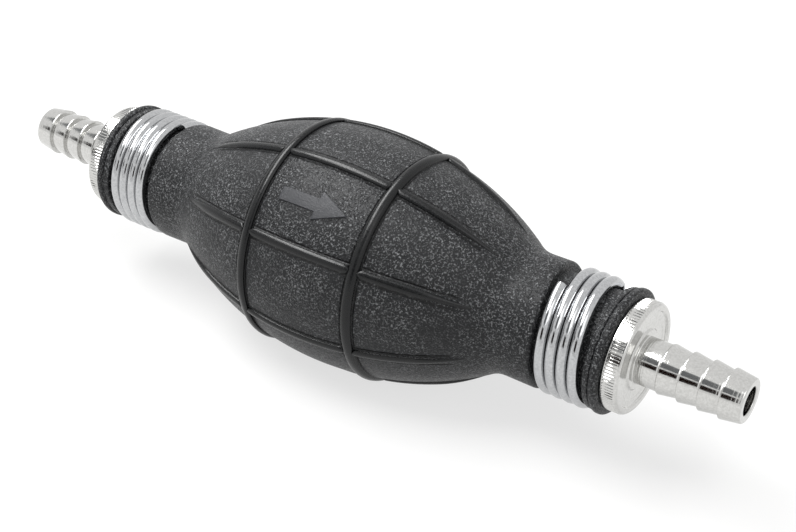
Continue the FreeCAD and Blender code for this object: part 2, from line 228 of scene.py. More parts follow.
def white_world():
    world = bpy.data.worlds.new("studio")
    scene.world = world
    world.use_nodes = True
    tree = world.node_tree
    tree.nodes.clear()
    light = add(tree, "ShaderNodeBackground", {"Color": colour(WORLD_COLOUR), "Strength": WORLD_LIGHT})
    ground = add(tree, "ShaderNodeBackground", {"Color": colour(WORLD_COLOUR), "Strength": 1.0})
    mix = add(tree, "ShaderNodeMixShader", {
        0: seen_directly(tree), 1: light.outputs[0], 2: ground.outputs[0]})
    add(tree, "ShaderNodeOutputWorld", {"Surface": mix.outputs[0]})


def floor_material():
    material, tree = new_material("seamless white paper")
    paper = add(tree, "ShaderNodeBsdfDiffuse", {"Color": colour(FLOOR_COLOUR)})
    glow = add(tree, "ShaderNodeEmission", {"Color": colour(WORLD_COLOUR), "Strength": 1.0})
    share = math_node(tree, "MULTIPLY", seen_directly(tree), 1 - SHADOW_SHARE)
    show(tree, "ShaderNodeMixShader", {0: share, 1: paper.outputs[0], 2: glow.outputs[0]})
    return material


def sheet_object(name, corners, material):
    """One flat four-cornered sheet."""
    mesh = bpy.data.meshes.new(name)
    mesh.from_pydata(corners, [], [(0, 1, 2, 3)])
    mesh.materials.append(material)
    sheet = bpy.data.objects.new(name, mesh)
    scene.collection.objects.link(sheet)
    return sheet


SQUARE = ((-1, -1), (1, -1), (1, 1), (-1, 1))


def floor():
    half = FLOOR_SIZE / 2
    height = cad_box[0][2]
    sheet = sheet_object("floor", [(half * i, half * j, height) for i, j in SQUARE], floor_material())


def soft_box(name, azimuth, elevation, distance, width, height, power):
    """Rectangular lamp that faces the pump."""
    lamp = bpy.data.lights.new(name, "AREA")
    lamp.shape = "RECTANGLE"
    lamp.size = width
    lamp.size_y = height
    lamp.energy = power
    box = bpy.data.objects.new(name, lamp)
    across, over, away = view_axes(azimuth, elevation)
    turned = Matrix((across, over, away)).transposed().to_4x4()
    box.matrix_world = Matrix.Translation(away * distance) @ turned
    box.visible_camera = False
    scene.collection.objects.link(box)


def card(name, start_x, azimuth, elevation, distance, width, height, tone):
    """Board that only reflections see, for the grey and dark bands on bright metal near start_x."""
    material, tree = new_material(name + " board")
    show(tree, "ShaderNodeEmission", {"Color": colour(tone), "Strength": 1.0})
    across, over, away = view_axes(azimuth, elevation)
    centre = Vector((start_x, 0, 0)) + away * distance
    corners = [centre + across * (width / 2 * i) + over * (height / 2 * j) for i, j in SQUARE]
    board = sheet_object(name, [tuple(c) for c in corners], material)
    board.visible_camera = False
    board.visible_diffuse = False
    board.visible_shadow = False
    board.visible_transmission = False


white_world()
floor()
soft_box("overhead", -70, 62, 0.8, 0.8, 0.34, 10.5)
soft_box("fill", 50, 45, 1.1, 0.7, 0.7, 2.0)
card("left_dark_card", -0.07, -46, 12, 0.24, 0.09, 0.05, "3c3a38")
card("left_grey_card", -0.07, -62, 44, 0.24, 0.17, 0.08, "8b8d8f")
card("right_dark_card", 0.045, 0, 15, 0.2, 0.115, 0.066, "1b100b")
card("right_grey_card", 0.045, 0, 41, 0.2, 0.115, 0.08, "77797b")
card("front_grey_card", 0.03, 52, -12, 0.5, 0.5, 0.16, "8f8f8d")
print("floor at", round(cad_box[0][2] / MM, 1), "mm")

# %% [markdown]
# ## A lathe for everything round
# Almost every piece here was turned or moulded round the flow axis, so one lathe makes them all.
# It takes a closed profile of distances along the axis and radii, walked so that the solid lies
# on its right. Corners can be rounded, because no real edge is perfectly sharp.

# %% The lathe
ROUND_STEPS = 4
SHARP_ANGLE = 32
WELD_MM = 0.0005


def rounded(corners):
    """Profile points from (x, radius, round) corners: each round is cut in along both sides."""
    points = []
    count = len(corners)
    for i, (x, radius, size) in enumerate(corners):
        here = Vector((x, radius))
        if size == 0:
            points.append((x, radius))
            continue
        before = Vector(corners[i - 1][:2]) - here
        after = Vector(corners[(i + 1) % count][:2]) - here
        start = here + before.normalized() * size
        end = here + after.normalized() * size
        for step in range(ROUND_STEPS + 1):
            t = step / ROUND_STEPS
            spot = start * (1 - t) ** 2 + here * 2 * t * (1 - t) + end * t ** 2
            points.append(tuple(spot))
    return points


def new_piece(name, vertices, faces, material):
    """Piece from millimetre vertices, its faces pointing outwards and smooth where they should be."""
    mesh = bpy.data.meshes.new(name)
    mesh.from_pydata([(x * MM, y * MM, z * MM) for x, y, z in vertices], [], faces)
    shell = bmesh.new()
    shell.from_mesh(mesh)
    bmesh.ops.remove_doubles(shell, verts=shell.verts, dist=WELD_MM * MM)
    bmesh.ops.recalc_face_normals(shell, faces=shell.faces)
    shell.to_mesh(mesh)
    shell.free()
    mesh.shade_smooth()
    mesh.set_sharp_from_angle(angle=math.radians(SHARP_ANGLE))
    mesh.materials.append(material)
    piece = bpy.data.objects.new(name, mesh)
    scene.collection.objects.link(piece)
    return piece


def loop_faces(rows, around, first=0):
    """Faces between neighbouring rows, each a closed loop of so many points."""
    faces = []
    for i in range(rows - 1):
        low = first + i * around
        for k in range(around):
            side = (k + 1) % around
            faces.append((low + k, low + around + k, low + around + side, low + side))
    return faces


def lathe(name, profile, material, around=128):
    """Solid of revolution about the flow axis from a closed (x, radius) profile."""
    vertices = []
    for x, radius in profile:
        for k in range(around):
            angle = 2 * math.pi * k / around
            vertices.append((x, -radius * math.sin(angle), radius * math.cos(angle)))
    last = (len(profile) - 1) * around
    faces = loop_faces(len(profile), around)
    for k in range(around):
        side = (k + 1) % around
        faces.append((last + k, k, side, last + side))
    piece = new_piece(name, vertices, faces, material)
    print(name, len(piece.data.polygons), "faces")
    return piece


def finish_piece(piece, body, slot, *replaced):
    """Lets a piece ride on its body and hides the frame's nodes that it stands for; slot is not used."""
    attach(piece, body)
    if replaced:
        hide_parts(*replaced)
    return piece


# %% [markdown]
# ## Black nitrile rubber
# The bulb is nitrile rubber moulded in a steel tool that was spark-eroded, which leaves a fine
# pebbled grain. The rubber itself is almost black; what one sees is the soft shine of each pebble.
# So the colour stays dark and the work is done by roughness and bump, with two painted marks: a
# lighter colour on the pebble tops as painted highlights for their glints, and painted shade in
# the creases beside the ribs and rings. The real pebbles are about 0.3 mm across, and they are
# drawn a little coarser so that they show. The grain and its painted highlights are strongest on
# top and on the necks and weaker lower down, which keeps the lower panels darker.

# %% Rubber materials
GRAIN_MM = 0.64
GRAIN_DEPTH_MM = 0.15
PAINTED_GLINT_MM = 0.4
# Colour of the painted highlights that stand in for the glints of the pebble tops.
PAINTED_GLINT_COLOUR = "a4a6a8"
CLOUD_MM = 7.5
CREASE_OFF_MM = 1.28
CREASE_WIDTH_MM = 0.42
CREASE_DEPTH_MM = 0.3
# Colour of the painted shade in the creases beside the ribs and rings.
PAINTED_CREASE_SHADE = "050505"
RUBBER_IOR = 1.36
RIB_COUNT = 8
FIRST_RIB_ANGLE = 22.5
RING_STATION = 13.43
RIB_END = 36.5


def crease_mask(tree, parts):
    """1 in the narrow creases beside the ribs and rings, 0 elsewhere."""
    front = math_node(tree, "MULTIPLY", parts["Y"], -1.0)
    angle = math_node(tree, "ARCTAN2", front, parts["Z"])
    pitch = 2 * math.pi / RIB_COUNT
    shifted = math_node(tree, "ADD", angle, 4 * math.pi + pitch / 2 - math.radians(FIRST_RIB_ANGLE))
    local = math_node(tree, "SUBTRACT", math_node(tree, "MODULO", shifted, pitch), pitch / 2)
    across = math_node(tree, "ABSOLUTE", math_node(tree, "MULTIPLY", local, axis_distance(tree, parts)))
    along = math_node(tree, "ABSOLUTE", parts["X"])
    inside = math_node(tree, "LESS_THAN", along, (RIB_END - 3.0) * MM)
    ring = math_node(tree, "ABSOLUTE", math_node(tree, "SUBTRACT", along, RING_STATION * MM))
    masks = []
    for distance in (across, ring):
        off = math_node(tree, "ABSOLUTE", math_node(tree, "SUBTRACT", distance, CREASE_OFF_MM * MM))
        masks.append(ramp(tree, off, 0.0, CREASE_WIDTH_MM * MM, 1.0, 0.0, "SMOOTHSTEP"))
    rib_mask = math_node(tree, "MULTIPLY", masks[0], inside)
    return math_node(tree, "MAXIMUM", rib_mask, masks[1])


def rubber(name, base, worn, grain_depth_mm, roughness, specks=False, creased=False):
    """Moulded rubber: dark, with a worm-like grain that is stronger in patches, on top and on the necks,
    painted highlights on the pebble tops with specks, and grooves with painted shade when creased.
    """
    material, tree = new_material(name)
    place, parts = object_place(tree)
    clouds = noise(tree, place, CLOUD_MM, 3.0, 0.6)
    grain = noise(tree, place, GRAIN_MM, 1.5, 0.6)
    worm = math_node(tree, "ABSOLUTE", math_node(tree, "SUBTRACT", grain, 0.5))
    ridge = ramp(tree, worm, 0.0, 0.1, 1.0, 0.0, "SMOOTHSTEP")
    neck = ramp(tree, math_node(tree, "ABSOLUTE", parts["X"]), 36 * MM, 41 * MM, 0.0, 0.6)
    above = ramp(tree, parts["Z"], -10 * MM, 14 * MM, 0.4, 1.0)
    patch = ramp(tree, clouds, 0.38, 0.58, 0.4, 1.0)
    strength = math_node(tree, "MINIMUM", math_node(tree, "ADD", patch, neck), 1.0)
    relief = math_node(tree, "MULTIPLY", ridge, math_node(tree, "MULTIPLY", strength, above))
    height = math_node(tree, "MULTIPLY", relief, grain_depth_mm * MM)
    body = blend(tree, clouds, base, worn)
    if specks:
        # Painted highlight: a lighter colour on the pebble tops stands in for their glints, stronger on top
        # and on the necks.
        lit = ramp(tree, noise(tree, place, PAINTED_GLINT_MM, 1.0), 0.46, 0.66, 0.0, 0.62)
        body = blend(tree, math_node(tree, "MULTIPLY", relief, lit), body, PAINTED_GLINT_COLOUR)
    if creased:
        mask = crease_mask(tree, parts)
        cut = math_node(tree, "MULTIPLY", mask, CREASE_DEPTH_MM * MM)
        height = math_node(tree, "SUBTRACT", height, cut)
        # Painted shade: the creases are darkened in colour as well as cut into the bump.
        body = blend(tree, math_node(tree, "MULTIPLY", mask, 0.85), body, PAINTED_CREASE_SHADE)
    bump = add(tree, "ShaderNodeBump", {"Strength": 1.0, "Distance": 1.0, "Height": height})
    sheen = ramp(tree, ridge, 0.0, 1.0, roughness + 0.08, roughness - 0.08)
    show(tree, "ShaderNodeBsdfPrincipled", {
        "Base Color": body, "Roughness": sheen, "IOR": RUBBER_IOR, "Normal": bump.outputs[0]})
    return material


grained_rubber = rubber("moulded nitrile rubber, spark-eroded grain", "0d0e10", "17181a",
                        GRAIN_DEPTH_MM, 0.4, specks=True, creased=True)
smooth_rubber = rubber("moulded nitrile rubber, polished rib", "0d0e0f", "141516",
                       GRAIN_DEPTH_MM * 0.04, 0.25)
# The arrow's lighter colour is painted sheen for its smooth face; it is moulded in the same black rubber as
# the bulb.
arrow_rubber_painted_sheen = rubber("moulded nitrile rubber, smooth arrow, painted sheen", "2d2e31", "3a3b3e",
                      GRAIN_DEPTH_MM * 0.2, 0.42)
seal_rubber = rubber("nitrile seal rubber", "1c1c1d", "262627", GRAIN_DEPTH_MM * 0.1, 0.5)
print("rubber grain every", GRAIN_MM, "mm")

# %% [markdown]
# ## The bulb
# The swelling is one long arc that meets each neck in a soft corner. The neck ends in a lip,
# then the wire's seat, then a rounded bead that rests against the flange. The inside is turned
# as well, so that the finished shell has the wall of the real one.

# %% Bulb profile
RUBBER_END = node_size["bulb"][1].x
PANEL_RADIUS = 25.7
SWELL_HALF = 39.8
NECK_RADIUS = 13.25
WALL = 3.2
SPIGOT_RADIUS = 9.2
LIP_STATION = 49.6
SEAT_RADIUS = 11.3
SEAT_END = 61.0
BEAD_RADIUS = 13.3
CORNER_BLEND = 2.6
LIP_BLEND_START = 43.0
OUTLET_LIP_PUSH = 2.1
INLET_LIP_PUSH = 1.1
LEAN_ANGLE = math.radians(-34)
SWELL_STEPS = 90
BULB_AROUND = 192


def arc_height(x, top, end_x, end):
    """Height at x of the arc that is top in the middle and end at both ends."""
    drop = top - end
    sweep = (end_x ** 2 + drop ** 2) / (2 * drop)
    return top - sweep + math.sqrt(sweep ** 2 - x ** 2)


def panel_radius(x):
    return arc_height(x, PANEL_RADIUS, SWELL_HALF, NECK_RADIUS)


def bulb_profile():
    neck = rounded([
        (SWELL_HALF - CORNER_BLEND, panel_radius(SWELL_HALF - CORNER_BLEND), 0.0),
        (SWELL_HALF, NECK_RADIUS, CORNER_BLEND * 0.9),
        (LIP_STATION, NECK_RADIUS + 0.1, 0.7),
        (LIP_STATION, SEAT_RADIUS, 0.3),
        (SEAT_END, SEAT_RADIUS, 0.3),
        (SEAT_END, 12.85, 0.4),
        (SEAT_END + 1.25, 12.95, 0.15),
        (SEAT_END + 1.45, 12.6, 0.15),
        (SEAT_END + 1.75, BEAD_RADIUS, 0.4),
        (RUBBER_END - 0.35, BEAD_RADIUS, 0.5),
        (RUBBER_END, 12.3, 0.4),
        (RUBBER_END, SPIGOT_RADIUS, 0.0),
        (SWELL_HALF, SPIGOT_RADIUS, 0.0),
    ])
    stations = [SWELL_HALF * (2 * i / SWELL_STEPS - 1) for i in range(1, SWELL_STEPS)]
    outside = [(x, panel_radius(x)) for x in stations if abs(x) < SWELL_HALF - CORNER_BLEND - 0.2]
    inside = [(-x, arc_height(x, PANEL_RADIUS - WALL, SWELL_HALF, SPIGOT_RADIUS)) for x in stations]
    left = [(-x, radius) for x, radius in reversed(neck)]
    return outside + neck + inside + left


bulb = lathe("bulb_skin", bulb_profile(), grained_rubber, around=BULB_AROUND)


def press_lips(piece):
    """Moves each lip a little along the neck, as the tight wire has pushed it."""
    for vertex in piece.data.vertices:
        x = vertex.co.x / MM
        if not LIP_BLEND_START < abs(x) < LIP_STATION + 0.1:
            continue
        if math.hypot(vertex.co.y, vertex.co.z) < (SEAT_RADIUS - 0.5) * MM:
            continue
        angle = math.atan2(-vertex.co.y, vertex.co.z)
        if x > 0:
            push = -0.25 - OUTLET_LIP_PUSH * (0.5 + 0.5 * math.cos(angle - LEAN_ANGLE)) ** 2.5
        else:
            push = 0.5 + INLET_LIP_PUSH * (1 - max(0.0, math.cos(angle - LEAN_ANGLE - math.pi / 2)))
        share = (abs(x) - LIP_BLEND_START) / (LIP_STATION - LIP_BLEND_START)
        vertex.co.x += push * share * MM


press_lips(bulb)
finish_piece(bulb, "pump", "bulb_rubber", "bulb")

# %% [markdown]
# ## Ribs that repeat
# Eight ribs run along the bulb and two run round it. The long rib is drawn once, as a half-round
# strip that follows the bulb, rounded where it stops beside a ring and thinned towards the neck.
# A node tree then copies it round the flow axis. The same tree will later cut the knurl, so its
# inputs are only a count, a first angle and a material.

# %% The tree that copies a piece round the flow axis


def new_tree(name, floats=(), whole=()):
    """Geometry tree with named number inputs, a material and a geometry socket at each end."""
    tree = bpy.data.node_groups.new(name, "GeometryNodeTree")
    sockets = [("Geometry", "Geometry")] + [(name, "Float") for name in floats]
    sockets += [(name, "Int") for name in whole] + [("Material", "Material")]
    for name, kind in sockets:
        tree.interface.new_socket(name, in_out="INPUT", socket_type="NodeSocket" + kind)
    tree.interface.new_socket("Geometry", in_out="OUTPUT", socket_type="NodeSocketGeometry")
    return tree, add(tree, "NodeGroupInput").outputs


def end_tree(tree, shape, material):
    """Ends a tree with plain mesh in the given material."""
    real = add(tree, "GeometryNodeRealizeInstances", {0: shape})
    painted = add(tree, "GeometryNodeSetMaterial", {"Geometry": real.outputs[0], "Material": material})
    add(tree, "NodeGroupOutput", {0: painted.outputs[0]})
    return tree


def ring_pattern_tree():
    tree, given = new_tree("copies round the flow axis", ["First Angle"], ["Count"])
    centres = add(tree, "GeometryNodeMeshLine", {"Count": given["Count"], "Offset": (0, 0, 0)})
    number = add(tree, "GeometryNodeInputIndex").outputs[0]
    pitch = math_node(tree, "DIVIDE", 2 * math.pi, given["Count"])
    turn = math_node(tree, "MULTIPLY_ADD", number, pitch, given["First Angle"])
    rotation = add(tree, "ShaderNodeCombineXYZ", {"X": turn})
    copies = add(tree, "GeometryNodeInstanceOnPoints", {
        "Points": centres.outputs[0], "Instance": given["Geometry"], "Rotation": rotation.outputs[0]})
    return end_tree(tree, copies.outputs[0], given["Material"])


def run_tree(piece, tree, values):
    """Runs a node tree on a piece with inputs by name, and keeps the plain mesh that comes out."""
    modifier = piece.modifiers.new("rule", "NODES")
    modifier.node_group = tree
    for item in tree.interface.items_tree:
        if item.in_out == "INPUT" and item.name in values:
            modifier[item.identifier] = values[item.name]
    bpy.context.view_layer.update()
    evaluated = piece.evaluated_get(bpy.context.evaluated_depsgraph_get())
    mesh = bpy.data.meshes.new_from_object(evaluated)
    piece.modifiers.remove(modifier)
    piece.data = mesh
    mesh.name = piece.name
    print(piece.name, len(mesh.polygons), "faces from the tree")
    return piece


ring_pattern = ring_pattern_tree()

# %% Lengthwise ribs
RIB_WIDTH = 1.95
RIB_HEIGHT = 0.72
RIB_SINK = 0.6
RIB_TAPER_START = 27.0
RIB_END_WIDTH = 0.5
RING_WIDTH = 2.2
RING_HEIGHT = 0.9
RING_SINK = 1.2
CROWN_START = 0.12
CROWN_FULLNESS = 0.7
CROWN_POINTS = 9
RIB_STEPS = 40


def crown(x, half, height):
    """(across, radius) points of the half-round top of a rib on the bulb at x."""
    points = []
    for k in range(CROWN_POINTS):
        swing = math.pi * k / (CROWN_POINTS - 1)
        lift = (height + CROWN_START) * math.sin(swing) ** CROWN_FULLNESS
        points.append((-half * math.cos(swing), panel_radius(x) - CROWN_START + lift))
    return points


def rib_size(x, x_from, x_to):
    """Half width and height of the long rib at x."""
    taper = min(1.0, max(0.0, (abs(x) - RIB_TAPER_START) / (RIB_END - RIB_TAPER_START)))
    half = (RIB_WIDTH + (RIB_END_WIDTH - RIB_WIDTH) * taper) / 2
    height = RIB_HEIGHT * (1 - taper ** 2)
    gap = min(x - x_from, x_to - x) / half
    if gap < 1:
        half *= math.sqrt(max(0.04, 1 - (1 - gap) ** 2))
    return half, height


def rib_strip(x_from, x_to, first):
    """Vertices and faces of one stretch of rib on top of the bulb, its vertices counted from first."""
    vertices = []
    for i in range(RIB_STEPS + 1):
        x = x_from + (x_to - x_from) * (1 - math.cos(math.pi * i / RIB_STEPS)) / 2
        half, height = rib_size(x, x_from, x_to)
        floor_z = panel_radius(x) - RIB_SINK
        vertices.append((x, -half, floor_z))
        vertices += [(x, y, z) for y, z in crown(x, half, height)]
        vertices.append((x, half, floor_z))
    width = CROWN_POINTS + 2
    last = first + RIB_STEPS * width
    caps = [tuple(range(first, first + width)), tuple(range(last, last + width))]
    return vertices, loop_faces(RIB_STEPS + 1, width, first) + caps


clear = RING_WIDTH / 2 - 0.15
rib_vertices = []
rib_faces = []
for x_from, x_to in ((-RING_STATION + clear, RING_STATION - clear), (RING_STATION + clear, RIB_END),
                     (-RIB_END, -RING_STATION - clear)):
    strip_vertices, strip_faces = rib_strip(x_from, x_to, len(rib_vertices))
    rib_vertices += strip_vertices
    rib_faces += strip_faces
ribs = new_piece("lengthwise_ribs", rib_vertices, rib_faces, smooth_rubber)
run_tree(ribs, ring_pattern, {
    "Count": RIB_COUNT, "First Angle": math.radians(FIRST_RIB_ANGLE), "Material": smooth_rubber})
finish_piece(ribs, "pump", "bulb_rubber")

# %% Rings
for name, station in (("inlet_ring_rib", -RING_STATION), ("outlet_ring_rib", RING_STATION)):
    half = RING_WIDTH / 2
    foot = panel_radius(station) - RING_SINK
    profile = []
    for k in range(CROWN_POINTS):
        swing = math.pi * k / (CROWN_POINTS - 1)
        x = station - half * math.cos(swing)
        profile.append((x, crown(x, half, RING_HEIGHT)[k][1]))
    profile += [(station + half, foot), (station - half, foot)]
    finish_piece(lathe(name, profile, smooth_rubber, around=BULB_AROUND), "pump", "bulb_rubber")

# %% [markdown]
# ## The flow arrow
# A plain block arrow is moulded into the panel that faces the camera, to show which way the
# liquid goes. It is a low plateau with a smooth top, so it is laid out flat in real sizes and
# then wrapped on the bulb, point by point.

# %% Flow arrow
ARROW_TAIL = -8.6
ARROW_NECK = 0.8
ARROW_TIP = 7.9
ARROW_SHAFT_HALF = 1.4
ARROW_HEAD_HALF = 3.1
ARROW_ANGLE = 45.0
ARROW_HEIGHT = 0.35
ARROW_SINK = 0.3
ARROW_BEVEL = 0.12
ARROW_GRID = 0.4
ARROW_ACROSS = 10


def arrow_half_width(x):
    if x <= ARROW_NECK:
        return ARROW_SHAFT_HALF
    return ARROW_HEAD_HALF * (ARROW_TIP - x) / (ARROW_TIP - ARROW_NECK)


def wrap(x, across, lift):
    """Point on the bulb: x along it, across in millimetres of arc from the arrow's middle line."""
    radius = panel_radius(x)
    angle = math.radians(ARROW_ANGLE) + across / radius
    return (x, -(radius + lift) * math.sin(angle), (radius + lift) * math.cos(angle))


def arrow_rows():
    """Stations along the arrow, with the shoulder of the head met twice."""
    shaft = math.ceil((ARROW_NECK - ARROW_TAIL) / ARROW_GRID)
    head = math.ceil((ARROW_TIP - ARROW_NECK) / ARROW_GRID)
    rows = [(ARROW_TAIL + (ARROW_NECK - ARROW_TAIL) * i / shaft, ARROW_SHAFT_HALF) for i in range(shaft + 1)]
    for i in range(head + 1):
        x = ARROW_NECK + (ARROW_TIP - ARROW_NECK) * i / head
        rows.append((x + (0.02 if i == 0 else 0), max(0.03, arrow_half_width(x + 1e-6))))
    return rows


def arrow_mesh():
    rows = arrow_rows()
    last = len(rows) - 1
    vertices = []
    for i, (x, half) in enumerate(rows):
        top = 0.0 if i in (0, last) else ARROW_HEIGHT
        edge = half + ARROW_BEVEL
        line = [(-edge, -ARROW_SINK), (-edge, 0.0)]
        line += [(half * (2 * k / ARROW_ACROSS - 1), top) for k in range(ARROW_ACROSS + 1)]
        line += [(edge, 0.0), (edge, -ARROW_SINK)]
        vertices += [wrap(x, a, h) for a, h in line]
    width = ARROW_ACROSS + 5
    caps = [tuple(range(width)), tuple(range(last * width, (last + 1) * width))]
    return vertices, loop_faces(len(rows), width) + caps


finish_piece(new_piece("flow_arrow", *arrow_mesh(), arrow_rubber_painted_sheen), "pump", "bulb_rubber")

# %% [markdown]
# ## Turned aluminium
# The tails are turned from aluminium bar and left bright. A turned surface carries very fine
# rings, and bright metal shows the room: white paper, the soft boxes and the dark boards. The
# tool marks are about 0.1 mm apart on the real part and are drawn at 0.34 mm so that they show.

# %% Metal materials
TOOL_MARK_MM = 0.34
SCRATCH_MM = 0.5
SCRATCH_SHARE = 0.12


def turned_metal(name, base, shade, roughness, mark_depth_mm):
    """Bright metal with tool marks round the flow axis and on its faces, and small scratches."""
    material, tree = new_material(name)
    place, parts = object_place(tree)
    along = math_node(tree, "ADD", parts["X"], axis_distance(tree, parts))
    line = add(tree, "ShaderNodeCombineXYZ", {"X": along}).outputs[0]
    marks = noise(tree, line, TOOL_MARK_MM, 2.0)
    specks = noise(tree, place, SCRATCH_MM, 5.0, 0.7)
    relief = math_node(tree, "MULTIPLY_ADD", specks, SCRATCH_SHARE, marks)
    bump = add(tree, "ShaderNodeBump", {"Strength": 1.0, "Distance": mark_depth_mm * MM, "Height": relief})
    show(tree, "ShaderNodeBsdfPrincipled", {
        "Base Color": blend(tree, specks, base, shade), "Metallic": 1.0,
        "Roughness": ramp(tree, specks, 0.3, 0.7, roughness * 0.7, roughness * 1.4),
        "Normal": bump.outputs[0]})
    return material


aluminium = turned_metal("bright turned aluminium", "e2e2e0", "a6a5a2", 0.11, 0.024)
zinc_wire = turned_metal("bright zinc-plated drawn wire", "d6d7d8", "8c8d8f", 0.11, 0.016)
spring_steel = turned_metal("stainless spring wire", "c4c4c2", "a4a4a2", 0.25, 0.002)
black_steel = turned_metal("phosphated spring steel", "3a3a3c", "2c2c2e", 0.45, 0.004)
brass = turned_metal("turned brass", "d8bb72", "b9994f", 0.22, 0.005)
print("tool marks every", TOOL_MARK_MM, "mm")

# %% [markdown]
# ## Hose tails
# Both tails are one outline with two different bores. From the mouth inwards each bore has the
# groove of a snap ring, the valve's chamber and the step that the valve closes against.

# %% Hose tails
FLANGE_END = 68.1
FLANGE_RADIUS = 11.7
STEM_RADIUS = 4.97
BARB_START = 73.0
BARB_COUNT = 4
BARB_PITCH = 4.37
BARB_CREST = 5.35
BARB_ROOT = 4.73
TIP = node_size["outlet_hose_tail"][1].x
SPIGOT_MOUTH = node_size["outlet_hose_tail"][0].x
BORE_RADIUS = 3.0
CHAMBER_END = RUBBER_END - 3.3
OUTLET_BORE = [
    (CHAMBER_END + 3.0, BORE_RADIUS), (CHAMBER_END, 5.3), (CHAMBER_END, 6.2), (CHAMBER_END - 12.1, 6.2),
    (CHAMBER_END - 12.1, 6.7), (CHAMBER_END - 14.05, 6.7), (CHAMBER_END - 14.05, 7.2),
    (CHAMBER_END - 15.15, 7.2), (CHAMBER_END - 15.15, 6.7), (SPIGOT_MOUTH, 6.7)]
INLET_BORE = [
    (CHAMBER_END + 4.2, BORE_RADIUS), (CHAMBER_END + 4.0, 3.2), (CHAMBER_END, 3.2), (CHAMBER_END, 6.2),
    (CHAMBER_END - 12.05, 6.2), (CHAMBER_END - 12.05, 6.7), (CHAMBER_END - 13.15, 6.7),
    (CHAMBER_END - 13.15, 6.2), (SPIGOT_MOUTH, 6.2)]


def tail_profile(bore):
    """Closed profile of a tail at the outlet end: the mouth, out to the tip, and back down its bore."""
    corners = [
        (SPIGOT_MOUTH, SPIGOT_RADIUS - 0.1, 0.4),
        (RUBBER_END, SPIGOT_RADIUS - 0.1, 0.0),
        (RUBBER_END + 0.02, FLANGE_RADIUS - 0.1, 0.3),
        (RUBBER_END + 0.3, FLANGE_RADIUS, 0.1),
        (FLANGE_END - 0.35, FLANGE_RADIUS, 0.15),
        (FLANGE_END, FLANGE_RADIUS - 0.4, 0.15),
        (FLANGE_END, 10.3, 0.1),
        (FLANGE_END - 0.4, 10.0, 0.1),
        (FLANGE_END - 0.4, 8.6, 0.05),
        (FLANGE_END - 0.48, 8.5, 0.05),
        (FLANGE_END - 0.48, 6.6, 0.1),
        (FLANGE_END - 0.1, 6.2, 0.1),
        (FLANGE_END - 0.1, STEM_RADIUS, 0.25),
    ]
    radius = STEM_RADIUS
    for i in range(BARB_COUNT):
        x = BARB_START + i * BARB_PITCH
        corners += [(x - 0.35, radius, 0.1), (x, radius - 0.14, 0.06), (x + 0.1, BARB_CREST, 0.26)]
        radius = BARB_ROOT
    corners += [
        (TIP - 0.22, BARB_ROOT, 0.1),
        (TIP, BARB_ROOT - 0.25, 0.08),
        (TIP, BORE_RADIUS + 0.2, 0.05),
        (TIP - 0.2, BORE_RADIUS, 0.1),
    ]
    corners += [(x, radius, 0.0) for x, radius in bore]
    return rounded(corners)


outlet_profile = tail_profile(OUTLET_BORE)
inlet_profile = [(-x, radius) for x, radius in reversed(tail_profile(INLET_BORE))]
finish_piece(lathe("outlet_tail", outlet_profile, aluminium), "pump", "tail_aluminium", "outlet_hose_tail")
finish_piece(lathe("inlet_tail", inlet_profile, aluminium), "pump", "tail_aluminium", "inlet_hose_tail")

# %% [markdown]
# ## Straight knurl on the flanges
# The rim of each flange is knurled, so that it can be held while the hose goes on. One tooth is
# a small wedge, and the tree that copied the ribs copies it too.

# %% Knurled rims
KNURL_PITCH_MM = 0.68
KNURL_HEIGHT = 0.14
KNURL_SINK = 0.1
KNURL_SLOPE = 0.3
KNURL_COUNT = round(2 * math.pi * FLANGE_RADIUS / KNURL_PITCH_MM)


def knurl_tooth(x_from, x_to):
    """One wedge-shaped tooth on top of the rim."""
    half = KNURL_PITCH_MM * 0.42
    low = FLANGE_RADIUS - KNURL_SINK
    high = FLANGE_RADIUS - 0.02 + KNURL_HEIGHT
    vertices = []
    for x, top in ((x_from, low), (x_from + KNURL_SLOPE, high), (x_to - KNURL_SLOPE, high), (x_to, low)):
        vertices += [(x, -half, low), (x, -half * 0.35, top), (x, half * 0.35, top), (x, half, low)]
    return vertices, [(0, 1, 2, 3), (12, 13, 14, 15)] + loop_faces(4, 4)


for end, x_from, x_to in (("outlet", RUBBER_END + 0.4, FLANGE_END - 0.5),
                          ("inlet", -FLANGE_END + 0.5, -RUBBER_END - 0.4)):
    rim = new_piece(end + "_knurl", *knurl_tooth(x_from, x_to), aluminium)
    run_tree(rim, ring_pattern, {"Count": KNURL_COUNT, "First Angle": 0.0, "Material": aluminium})
    finish_piece(rim, "pump", "tail_aluminium")

# %% [markdown]
# ## Wound wire
# Each neck is bound with plain round wire, wound four times under tension and cut square. A node
# tree draws a line, bends it into a right-handed helix round the flow axis and sweeps a round
# section along it. The valve springs are the same tree with a thinner wire.

# %% The tree that winds a wire
CUT_SHARP_ANGLE = 60


